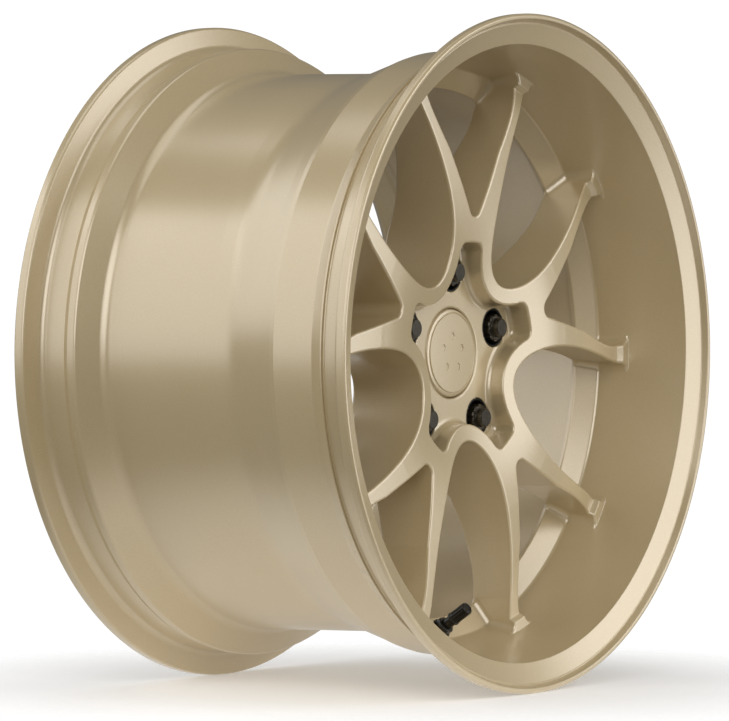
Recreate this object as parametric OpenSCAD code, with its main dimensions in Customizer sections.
// Forged racing wheel: one-piece 18 inch rim with five Y spokes, lug nuts, centre cap and tyre valve.
// Drawn as the real wheel is turned and milled, then stood upright: the spin axis is Y,
// the street side faces -Y and Z is up. All sizes are millimetres.

/* [Rim size] */

// Diameter of the bead seats where they meet the flanges
seat_d = 462; // [380:1:520]
// Width between the flanges, where the tyre sits
rim_w = 266.7; // [180:0.1:330]
// How far each flange stands above its bead seat
flange_h = 17.3; // [14:0.1:20]
// Thickness of each flange along the axis
flange_t = 12.85; // [10:0.05:16]
// Depth of the drum well below the bead seats
well_depth = 22.2; // [16:0.1:28]
// Wall thickness of the drum
drum_wall = 6; // [4:0.1:10]

/* [Lip and shoulder] */

// Thickness of the front lip, from the flange edge in to the lip wall
lip_thick = 22; // [18:0.1:28]
// Depth of the inner lip edge behind the very front
lip_back = 9.9; // [4:0.1:16]
// How far the lip wall narrows on its way down to the shoulder
lip_taper = 13.8; // [10:0.1:18]
// Height of that corner in front of the wheel centre
shoulder_h = 65.1; // [40:0.1:110]
// Width of the sloping shoulder, seen from the front
shoulder_w = 15.6; // [8:0.1:30]

/* [Spokes] */

// Number of Y spokes
spokes = 5; // [5:1:5]
// Height of the spoke faces at their highest ring
face_h = 91; // [70:0.1:110]
// Height of the faces on the ridge round the hub
ridge_h = 83.5; // [60:0.1:100]
// Radius at the bottom of each wide window
wide_r = 65.3; // [60:0.1:74]
// Half width of each wide window at the rim
wide_half = 52.5; // [44:0.1:56]
// Radius at the bottom of each narrow window
narrow_r = 101.2; // [94:0.1:120]
// Corner radius at the bottom of each narrow window
narrow_corner = 7; // [4:0.1:10]
// Sideways width of each arm beside the narrow window, near the rim
arm_side = 7.18; // [6:0.01:10]
// Angle of the arms from the stem
arm_angle = 30; // [26:0.1:33]
// Fillet between the arms and the lip wall
root_fillet = 6; // [3:0.1:9]

/* [Hub] */

// Offset of the mounting face in front of the wheel centre
offset_h = 22; // [5:0.5:45]
// Height of the pocket floor round the lug holes
pad_h = 68.7; // [60:0.1:76]
// Outer radius of the milled pocket
pocket_r = 81.6; // [78:0.1:86]
// Width of the ridge between pocket and windows
ridge_w = 13; // [8:0.1:16]
// Diameter of the hub bore at the back
bore_d = 72.6; // [54:0.1:80]
// Depth of the full bore, from the mounting face to its step
bore_depth = 17; // [8:0.5:17]
// Pitch circle diameter of the lug holes
pcd = 120; // [112:0.1:122]
// Diameter of the mounting face
face_d = 156; // [148:1:164]

/* [Lug seats and nuts] */

// Diameter over the splines of a nut
nut_d = 21; // [17.5:0.1:25.2]
// Gap between a nut and the socket of its seat, for the key
socket_gap = 2.5; // [1.5:0.1:2.6]
// Wall of the pressed steel seats
seat_wall = 1.5; // [1:0.1:2]
// Step from the splines in to the plain nose
nose_step = 3.5; // [2.5:0.1:4.5]
// Height of the nose end above the pocket floor
nose_rise = 8.1; // [4:0.1:16]
// Thread diameter of the wheel studs
thread_d = 12.4; // [10:0.1:13]
// Gap round the wheel stud in its hole
stud_gap = 1.55; // [0.8:0.05:2]
// Number of splines round a nut
splines = 10; // [6:1:14]

/* [Centre cap] */

// Diameter of the recess for the cap
cap_hole_d = 67; // [55.8:0.1:68]
// Gap between the cap and its recess
cap_gap = 0.4; // [0.2:0.05:0.6]
// Width of the bevelled rim round the raised disc of the cap
cap_bevel = 3.8; // [3:0.1:6]

/* [Valve] */

// Distance of the valve hole centre in from the shoulder corner
valve_in = 7.8; // [6:0.1:9]
// Diameter of the valve stem
stem_d = 8.3; // [6.9:0.01:10]
// Wall of the rubber grommet round the stem in the valve hole
grommet_wall = 1.6; // [1.2:0.1:2]
// Step from the stem out to the dust cap
dust_cap_step = 0.65; // [0.5:0.05:1]

/* [Hidden] */

$fn = 96;
seat_r = seat_d / 2;
edge_r = seat_r + flange_h;
edge_h = rim_w / 2 + flange_t;
half_w = rim_w / 2;
well_r = seat_r - well_depth;
lip_r = edge_r - lip_thick;
lip_h = edge_h - lip_back;
sh_r = lip_r - lip_taper;
sh_in = sh_r - shoulder_w;
sh_slope = 35;
sh_low = shoulder_h - shoulder_w * tan(sh_slope);
drum_r = well_r - drum_wall;
split_front = half_w - 32.35;
split_rear = 39.35 - half_w;
split_hub = 88;
pitch = 360 / spokes;
stud_r = pcd / 2;
near_rim = sh_r - 28.5;
window_end_r = sh_r + 12.5;
narrow_half = near_rim * sin(pitch / 2) - wide_half * cos(pitch / 2) - arm_side;
socket_d = nut_d + 2 * socket_gap;
seat_od = socket_d + 2 * seat_wall;
nose_d = nut_d - 2 * nose_step;
nose_h = pad_h + nose_rise;
stud_hole_d = thread_d + 2 * stud_gap;
cap_r = cap_hole_d / 2 - cap_gap;
badge_r = cap_r - cap_bevel;
ledge_r = cap_hole_d / 2 - 3;
valve_r = sh_r - valve_in;
valve_hole_d = stem_d + 2 * grommet_wall;
dust_cap_d = stem_d + 2 * dust_cap_step;
valve_h = shoulder_h - (sh_r - valve_r) * tan(sh_slope);
small = 0.01;

paint = [0.76, 0.70, 0.58];
black = [0.07, 0.07, 0.07];
steel = [0.62, 0.62, 0.64];
brass = [0.78, 0.62, 0.30];
rubber = [0.10, 0.10, 0.11];

// ---- curves ----

function unit(v) = v / norm(v);

// Points that round the corner b between a and c with radius r.
function corner(a, b, c, r, n) =
    let (
        u = unit(a - b),
        v = unit(c - b),
        half = acos(max(-1, min(1, u * v))) / 2,
        mid = b + unit(u + v) * r / sin(half),
        p = b + u * r / tan(half) - mid,
        q = b + v * r / tan(half) - mid,
        a0 = atan2(p[1], p[0]),
        turn = (atan2(q[1], q[0]) - a0 + 540) % 360 - 180
    )
    [for (i = [0 : n]) mid + r * [cos(a0 + turn * i / n), sin(a0 + turn * i / n)]];

// A path of [x, y, r] corners with each corner rounded; the two ends stay sharp.
function rounded(p, n = 5) = [
    for (i = [0 : len(p) - 1])
        let (here = [p[i][0], p[i][1]])
        each (i == 0 || i == len(p) - 1 || p[i][2] == 0)
            ? [here]
            : corner([p[i - 1][0], p[i - 1][1]], here, [p[i + 1][0], p[i + 1][1]], p[i][2],
                     p[i][2] < 1.3 ? 2 : n)
];

// A cubic curve through its two end points, pulled by two handles.
function curve(a, b, c, d, n = 14) = [
    for (i = [0 : n])
        let (t = i / n, s = 1 - t)
        s * s * s * a + 3 * s * s * t * b + 3 * s * t * t * c + t * t * t * d
];

function mirrored(p) = [for (i = [len(p) - 1 : -1 : 0]) [-p[i][0], p[i][1]]];

// ---- profiles, as [radius, height in front of the wheel centre] ----

// Tyre side of one flange, from the hump to the outer edge.
function flange_side() = [
    [seat_r - 1.7, half_w - 19, 1],
    [seat_r, half_w, 6],
    [edge_r - 0.6, half_w + 4.4, 2.2],
    [edge_r, half_w + 6.4, 1],
    [edge_r, edge_h - 1.6, 1.4],
    [edge_r - 1.6, edge_h, 1.6]
];

function flip(p) = [for (i = [len(p) - 1 : -1 : 0]) [p[i][0], -p[i][1], p[i][2]]];

// Outside of the rim, from the back edge forwards.
function outside() = rounded(concat(
    [[edge_r - 7, -edge_h, 0]],
    flip(flange_side()),
    [
        [seat_r, -half_w + 23, 1.5],
        [seat_r, -half_w + 29, 3],
        [well_r + 2.2, -half_w + 43.5, 12],
        [well_r, 0, 40],
        [well_r, shoulder_h - 45.1, 60],
        [well_r + 10.3, shoulder_h - 10.6, 60],
        [edge_r - 26.2, shoulder_h - 1.6, 2.5],
        [edge_r - 25.1, shoulder_h + 2.9, 2],
        [edge_r - 25.1, split_front, 3],
        [seat_r, half_w - 20, 3],
        [seat_r, half_w - 18, 1]
    ],
    flange_side(),
    [[edge_r - 4.2, edge_h - 0.2, 1.2], [edge_r - 6, edge_h - 5.6, 0.6]]
), 5);

// Front of the lip and its wall down to the shoulder, from the groove inwards.
function lip_line() = rounded([
    [edge_r - 6, edge_h - 5.6, 0],
    [edge_r - 7.2, edge_h - 4.8, 0.7],
    [lip_r, lip_h, 0.7],
    [sh_r, shoulder_h, 4],
    [sh_in, sh_low, 1.2],
    [sh_in + 0.6, sh_low - 3.4, 1],
    [drum_r, sh_low - 6.4, 0]
], 5);

// Inside of the drum behind the shoulder, to the back edge.
function drum_line() = rounded([
    [drum_r, sh_low - 6.4, 0],
    [drum_r, 0, 0],
    [well_r - drum_wall + 2, -half_w + 43.5, 14],
    [seat_r - drum_wall - 2, -half_w + 28, 12],
    [seat_r - drum_wall - 2, -half_w + 2, 8],
    [edge_r - 14, -edge_h + 3.5, 6],
    [edge_r - 7, -edge_h, 0]
], 4);

// Spoke faces: highest at mid arm, lower at the ridge and at the rim.
function face_line() =
    let (start = 124, tip = sh_r - 5.5, arm = tip - start)
    concat(
        curve([cap_hole_d / 2 + 6.5, ridge_h - 2.6], [70, ridge_h + 1.6], [88, face_h - 0.4],
              [start - 6, face_h - 0.1], 8),
        curve([start, face_h], [start + 0.313 * arm, face_h - 0.4], [start + 0.675 * arm, face_h - 2],
              [tip, face_h - 5.4], 8),
        [[sh_r - 3, face_h - 1.4], [edge_r - 8.3, face_h - 1.4]]
    );

// Back of the spokes, from the rim to the mounting face.
function back_line() =
    let (end = 118, arm = sh_in - 14 - end)
    concat(
        [[edge_r - 8.3, sh_low - 2.4], [sh_in - 4, sh_low - 2.4]],
        curve([sh_in - 14, sh_low - 1.4], [end + 0.647 * arm, sh_low - 1], [end + 0.339 * arm, sh_low - 8],
              [end, 40], 8),
        curve([end - 8, 36.5], [100, 32], [90, 27], [face_d / 2 + 3, offset_h + 4], 5),
        [[face_d / 2, offset_h]]
    );

// ---- plan shapes, seen from the front with the first spoke upwards ----

// Wide window between two stems, its bottom at wide_r.
module wide_shape() {
    side = concat(
        curve([0, wide_r], [26, wide_r], [wide_half - 3.5, near_rim - 74], [wide_half, near_rim]),
        [[wide_half + 3.6, near_rim + 18], [wide_half + 3.6, window_end_r]]
    );
    polygon(concat(mirrored(side), side));
}

// Narrow window between the two arms of one spoke.
module narrow_shape() {
    c = narrow_r + narrow_corner;
    turn = 90 - arm_angle;
    x0 = narrow_corner * cos(arm_angle);
    y0 = c - narrow_corner * sin(arm_angle);
    side = concat(
        [for (i = [0 : 6]) narrow_corner * [sin(turn * i / 6), -cos(turn * i / 6)] + [0, c]],
        curve([x0 + (near_rim - 34 - y0) * tan(arm_angle), near_rim - 34], [narrow_half - 14.44, near_rim - 18],
              [narrow_half, near_rim], [narrow_half + 1.8, near_rim + 16], 9),
        [[narrow_half + 1.8, window_end_r]]
    );
    polygon(concat(mirrored(side), side));
}

// One window of the plan, ending at the lip wall, where its corners are filleted.
module window_end() {
    offset(r = root_fillet) offset(delta = -root_fillet)
        intersection() {
            children();
            circle(r = lip_r - 8.8, $fn = 180);
        }
}

// Plan of one Y spoke: its sector with half a wide window each side and the narrow one.
module spoke_plan() {
    half = edge_r * tan(pitch / 2);
    difference() {
        polygon([[0, 0], [-half, edge_r], [half, edge_r]]);
        rotate(-pitch / 2) window_end() wide_shape();
        rotate(pitch / 2) window_end() wide_shape();
        window_end() narrow_shape();
    }
}

// Star-shaped pocket: a lobe for each lug hole, a ridge left round each wide window.
module pocket_shape() {
    offset(r = 5.5) offset(delta = -5.5)
        difference() {
            circle(r = pocket_r);
            for (i = [0 : spokes - 1])
                rotate(-pitch * (i + 0.5)) offset(r = ridge_w) wide_shape();
        }
}

// ---- the forging ----

module rim_ring() {
    rotate_extrude($fn = 180)
        polygon(concat(outside(), lip_line(), drum_line()));
}

// Everything between the hub bore and the rim, before the windows are milled.
module spoke_disc() {
    rotate_extrude($fn = 180)
        polygon(concat(
            [[bore_d / 2, offset_h], [bore_d / 2, offset_h + bore_depth]],
            [[bore_d / 2 - 1.5, offset_h + bore_depth], [bore_d / 2 - 1.5, offset_h + 26], [ledge_r, offset_h + 28]],
            [[ledge_r, pad_h - 9], [cap_hole_d / 2, pad_h - 9], [cap_hole_d / 2, ridge_h - 2.6]],
            face_line(),
            back_line()
        ));
}

// Space outside the lip wall and shoulder, where the rim ring already is.
module rim_side() {
    rotate_extrude($fn = 180)
        polygon(concat(lip_line(), [[drum_r, 0], [edge_r + 20, 0], [edge_r + 20, edge_h - 5.6]]));
}

module valve_cut() {
    valve_place() {
        translate([0, 0, -40]) cylinder(d = valve_hole_d, h = 60, $fn = 64);
        translate([0, 0, -40]) cylinder(d = 20, h = 25, $fn = 64);
        translate([0, 0, -0.6]) cylinder(d = 17, h = 10, $fn = 64);
    }
}

module outer_lip() {
    color(paint) stand()
        intersection() {
            rim_ring();
            translate([0, 0, split_front]) cylinder(r = edge_r + 30, h = 80);
        }
}

module barrel_well() {
    color(paint) stand()
        difference() {
            intersection() {
                rim_ring();
                translate([0, 0, split_rear]) cylinder(r = edge_r + 30, h = split_front - split_rear);
            }
            valve_cut();
        }
}

module inner_lip() {
    color(paint) stand()
        intersection() {
            rim_ring();
            translate([0, 0, split_rear - 80]) cylinder(r = edge_r + 30, h = 80);
        }
}

module hub_centre() {
    color(paint) stand()
        difference() {
            intersection() {
                spoke_disc();
                cylinder(r = split_hub, h = 150, $fn = 180);
            }
            for (i = [0 : spokes - 1])
                rotate(-pitch * (i + 0.5)) translate([0, 0, -10]) linear_extrude(130) wide_shape();
            translate([0, 0, pad_h]) linear_extrude(40) pocket_shape();
            lug_spots() {
                translate([0, 0, pad_h - 29]) cylinder(d = seat_od, h = 60, $fn = 64);
                cylinder(d = stud_hole_d + 3, h = 80, $fn = 64);
            }
        }
}

module y_spoke(i) {
    color(paint) stand() rotate(-pitch * i)
        difference() {
            intersection() {
                spoke_disc();
                linear_extrude(150) spoke_plan();
            }
            cylinder(r = split_hub, h = 300, center = true, $fn = 180);
            rim_side();
        }
}

module y_spoke_1() y_spoke(0);
module y_spoke_2() y_spoke(1);
module y_spoke_3() y_spoke(2);
module y_spoke_4() y_spoke(3);
module y_spoke_5() y_spoke(4);

// ---- lug seats and nuts ----

// Cone seat pressed into the hub: 60 degree cone at the bottom, plain socket above.
module lug_seat(i) {
    floor_h = pad_h - 29;
    color(black) stand() lug_spot(i)
        translate([0, 0, floor_h])
            rotate_extrude($fn = 64)
                polygon([
                    [stud_hole_d / 2, 0],
                    [seat_od / 2, 0],
                    [seat_od / 2, 28],
                    [seat_od / 2 - 0.5, 28.5],
                    [socket_d / 2 + 0.5, 28.5],
                    [socket_d / 2, 28],
                    [socket_d / 2, 10.8],
                    [nut_d / 2 + 0.6, 10.2],
                    [stud_hole_d / 2, 10.2 - (nut_d / 2 + 0.6 - stud_hole_d / 2) * tan(60)]
                ]);
}

module lug_seat_1() lug_seat(0);
module lug_seat_2() lug_seat(1);
module lug_seat_3() lug_seat(2);
module lug_seat_4() lug_seat(3);
module lug_seat_5() lug_seat(4);

// Splined nut with a plain nose and a blind thread from the back.
module lug_nut(i) {
    cone_h = pad_h - 29 + 10.2 - 0.25;
    top_h = pad_h + 2.6;
    r = nut_d / 2;
    r_small = stud_hole_d / 2 + 0.3;
    color(black) stand() lug_spot(i)
        difference() {
            union() {
                translate([0, 0, cone_h])
                    rotate_extrude($fn = 64)
                        polygon([
                            [0, -(r - r_small) * tan(60)],
                            [r_small, -(r - r_small) * tan(60)],
                            [r, 0],
                            [r, 3],
                            [0, 3]
                        ]);
                translate([0, 0, cone_h + 2])
                    linear_extrude(top_h - cone_h - 2) spline_shape(r - 0.25);
                translate([0, 0, top_h - 1])
                    cylinder(d = nose_d, h = nose_h - top_h, $fn = 64);
                translate([0, 0, nose_h - 1])
                    cylinder(d1 = nose_d, d2 = nose_d - 2.4, h = 1, $fn = 64);
            }
            translate([0, 0, cone_h - 12]) cylinder(d = thread_d, h = 26, $fn = 64);
            translate([0, 0, cone_h + 14 - small])
                cylinder(d1 = thread_d, d2 = 0.5, h = 3.4, $fn = 64);
        }
}

// Lobes for a splined key, with a groove between each pair.
module spline_shape(r) {
    polygon([
        for (k = [0 : 12 * splines - 1])
            let (a = k * 30 / splines)
            (r - 1.15 * max(0, -cos(splines * a))) * [sin(a), cos(a)]
    ]);
}

module lug_nut_1() lug_nut(0);
module lug_nut_2() lug_nut(1);
module lug_nut_3() lug_nut(2);
module lug_nut_4() lug_nut(3);
module lug_nut_5() lug_nut(4);

// ---- centre cap ----

// Painted face with a bevelled rim, a raised disc and a short skirt behind.
module cap_face() {
    r = cap_r;
    top = pad_h + 0.4;
    b = badge_r;
    ring = ledge_r - 8.5;
    color(paint) stand()
        difference() {
            rotate_extrude($fn = 128)
                polygon([
                    [0, top - 4],
                    [ring, top - 4],
                    [ring, top - 7.4],
                    [ring + 4, top - 7.4],
                    [ring + 4, top - 4],
                    [r, top - 4],
                    [r, top - 1],
                    [r - 0.8, top - 0.3],
                    [b + 0.9, top + 0.1],
                    [b + 0.5, top - 0.5],
                    [b, top - 0.5],
                    [b - 0.5, top + 0.6],
                    [0, top + 0.9]
                ]);
            for (k = [0 : 4])
                rotate(-pitch * k) translate([0, 12.5, top - 0.1]) cylinder(d = 6, h = 4, $fn = 6);
        }
}

// Plastic ring with snap legs, drawn pressed in as they pass the bore's inner step.
module cap_clip() {
    step = ledge_r;
    leg = ledge_r - 2.5;
    top = pad_h + 0.4 - 7.4;
    legs = 8;
    color(black) stand()
        difference() {
            rotate_extrude($fn = 96)
                polygon([
                    [leg - 6, top],
                    [leg, top],
                    [leg, offset_h + 22.4],
                    [step - 0.3, offset_h + 23.8],
                    [step - 0.3, offset_h + 21.8],
                    [leg + 0.4, offset_h + 18.5],
                    [leg - 3, offset_h + 18.5],
                    [leg - 3, top - 3],
                    [leg - 6, top - 3]
                ]);
            for (k = [0 : legs - 1])
                rotate(360 / legs * k)
                    translate([leg - 3.6, -2, offset_h + 10]) cube([10, 4, top - 4 - offset_h - 10]);
        }
}

// Wire ring that presses the legs outwards.
module cap_spring() {
    color(steel) stand()
        translate([0, 0, offset_h + 23.4])
            rotate_extrude(angle = 346, $fn = 96)
                translate([ledge_r - 6.4, 0]) circle(r = 0.85, $fn = 24);
}

// Rubber ring under the edge of the cap.
module cap_seal() {
    color(rubber) stand()
        translate([0, 0, pad_h - 6.2])
            rotate_extrude($fn = 96)
                translate([cap_hole_d / 2 - 2.1, 0]) square([1.4, 2.6]);
}

// ---- tyre valve ----

// Metal stem with a wide head on the tyre side.
module valve_stem() {
    r = stem_d / 2;
    color(black) stand() valve_place()
        difference() {
            union() {
                translate([0, 0, -20.4]) cylinder(r = 8.2, h = 3, $fn = 48);
                translate([0, 0, -17.4 - small]) cylinder(r = r + 0.45, h = 12.4, $fn = 48);
                translate([0, 0, -5 - small]) cylinder(r = r, h = 20, $fn = 48);
                translate([0, 0, 15 - 2 * small]) cylinder(r = r - 0.3, h = 10.4, $fn = 48);
            }
            translate([0, 0, -21]) cylinder(r = 1.5, h = 50, $fn = 32);
            translate([0, 0, 3]) cylinder(r = 2.35, h = 30, $fn = 32);
        }
}

// Rubber grommet that seals the hole on the tyre side.
module valve_grommet() {
    inner = stem_d / 2 + 0.5;
    color(rubber) stand() valve_place()
        rotate_extrude($fn = 48)
            polygon([
                [inner, -17.4],
                [8.2, -17.4],
                [8.2, -15],
                [valve_hole_d / 2 - 0.05, -15],
                [valve_hole_d / 2 - 0.05, -9],
                [inner, -9]
            ]);
}

module valve_washer() {
    color(black) stand() valve_place()
        difference() {
            translate([0, 0, -0.6]) cylinder(r = 8, h = 1.4, $fn = 48);
            translate([0, 0, -2]) cylinder(r = stem_d / 2 + 0.1, h = 5, $fn = 48);
        }
}

module valve_nut() {
    wide = stem_d + 5.5;
    color(black) stand() valve_place()
        difference() {
            intersection() {
                translate([0, 0, 0.8]) cylinder(d = wide, h = 5.4, $fn = 6);
                translate([0, 0, 0.8])
                    rotate_extrude($fn = 48)
                        polygon([
                            [0, 0],
                            [wide / 2 - 0.5, 0],
                            [wide / 2 + 0.05, 0.6],
                            [wide / 2 + 0.05, 4.4],
                            [wide / 2 - 0.8, 5.4],
                            [0, 5.4]
                        ]);
            }
            cylinder(r = stem_d / 2 + 0.05, h = 10, $fn = 48);
        }
}

// Threaded core that holds the pin.
module core_body() {
    color(brass) stand() valve_place()
        difference() {
            union() {
                translate([0, 0, 18.5]) cylinder(r = 2.3, h = 6.4, $fn = 32);
                translate([0, 0, 8]) cylinder(r = 1.9, h = 10.6, $fn = 32);
            }
            translate([0, 0, 9]) cylinder(r = 1.25, h = 9, $fn = 32);
            translate([0, 0, 7]) cylinder(r = 0.75, h = 30, $fn = 32);
        }
}

// Pin with a small poppet at its lower end.
module core_pin() {
    color(brass) stand() valve_place()
        union() {
            translate([0, 0, 4.6]) cylinder(r = 0.6, h = 20.2, $fn = 24);
            translate([0, 0, 4.6]) cylinder(r = 1.7, h = 1.2, $fn = 24);
            translate([0, 0, 14.2]) cylinder(r = 0.78, h = 0.8, $fn = 24);
        }
}

// Return spring inside the core, drawn as its closed sleeve.
module core_spring() {
    color(steel) stand() valve_place()
        translate([0, 0, 9])
            difference() {
                cylinder(r = 1.2, h = 5.1, $fn = 24);
                translate([0, 0, -1]) cylinder(r = 0.86, h = 9, $fn = 24);
            }
}

// Rubber ring that the poppet closes against.
module core_seal() {
    color(rubber) stand() valve_place()
        translate([0, 0, 6])
            difference() {
                cylinder(r = 2.3, h = 2, $fn = 32);
                translate([0, 0, -1]) cylinder(r = 0.9, h = 5, $fn = 24);
            }
}

// Dust cap with a collar, grip flutes and a recessed end.
module dust_cap() {
    r = dust_cap_d / 2;
    color(black) stand() valve_place()
        difference() {
            union() {
                translate([0, 0, 12.6]) cylinder(r = r + 0.4, h = 1.8, $fn = 48);
                translate([0, 0, 14.4 - small]) cylinder(r = r, h = 13.6, $fn = 48);
                translate([0, 0, 28 - 2 * small]) cylinder(r1 = r, r2 = r - 0.9, h = 0.9, $fn = 48);
            }
            for (k = [0 : 11])
                rotate(30 * k) translate([r + 0.45, 0, 15.6]) cylinder(r = 0.8, h = 11.4, $fn = 16);
            translate([0, 0, 28.3]) cylinder(r = r - 1.9, h = 2, $fn = 32);
            translate([0, 0, 12]) cylinder(r = stem_d / 2 + 0.1, h = 3.4, $fn = 48);
            translate([0, 0, 12]) cylinder(r = stem_d / 2 - 0.25, h = 14.8, $fn = 48);
        }
}

// Rubber disc inside the dust cap.
module dust_cap_seal() {
    color(rubber) stand() valve_place()
        translate([0, 0, 25.8])
            difference() {
                cylinder(r = stem_d / 2 - 0.35, h = 1, $fn = 32);
                translate([0, 0, -1]) cylinder(r = 2.1, h = 3, $fn = 32);
            }
}

// ---- places ----

// From the drawing frame (axis Z, front up) to the standing wheel (axis Y, front towards -Y).
module stand() rotate([90, 0, 0]) children();

module lug_spot(i) rotate(-pitch * i) translate([0, stud_r, 0]) children();

module lug_spots() for (i = [0 : spokes - 1]) lug_spot(i) children();

// Valve frame: square to the shoulder, at the bottom of the wheel.
module valve_place() translate([0, -valve_r, valve_h]) rotate([-sh_slope, 0, 0]) children();

outer_lip();
barrel_well();
inner_lip();
hub_centre();
y_spoke_1();
y_spoke_2();
y_spoke_3();
y_spoke_4();
y_spoke_5();
lug_seat_1();
lug_seat_2();
lug_seat_3();
lug_seat_4();
lug_seat_5();
lug_nut_1();
lug_nut_2();
lug_nut_3();
lug_nut_4();
lug_nut_5();
cap_face();
cap_clip();
cap_spring();
cap_seal();
valve_stem();
valve_grommet();
valve_washer();
valve_nut();
core_body();
core_pin();
core_spring();
core_seal();
dust_cap();
dust_cap_seal();
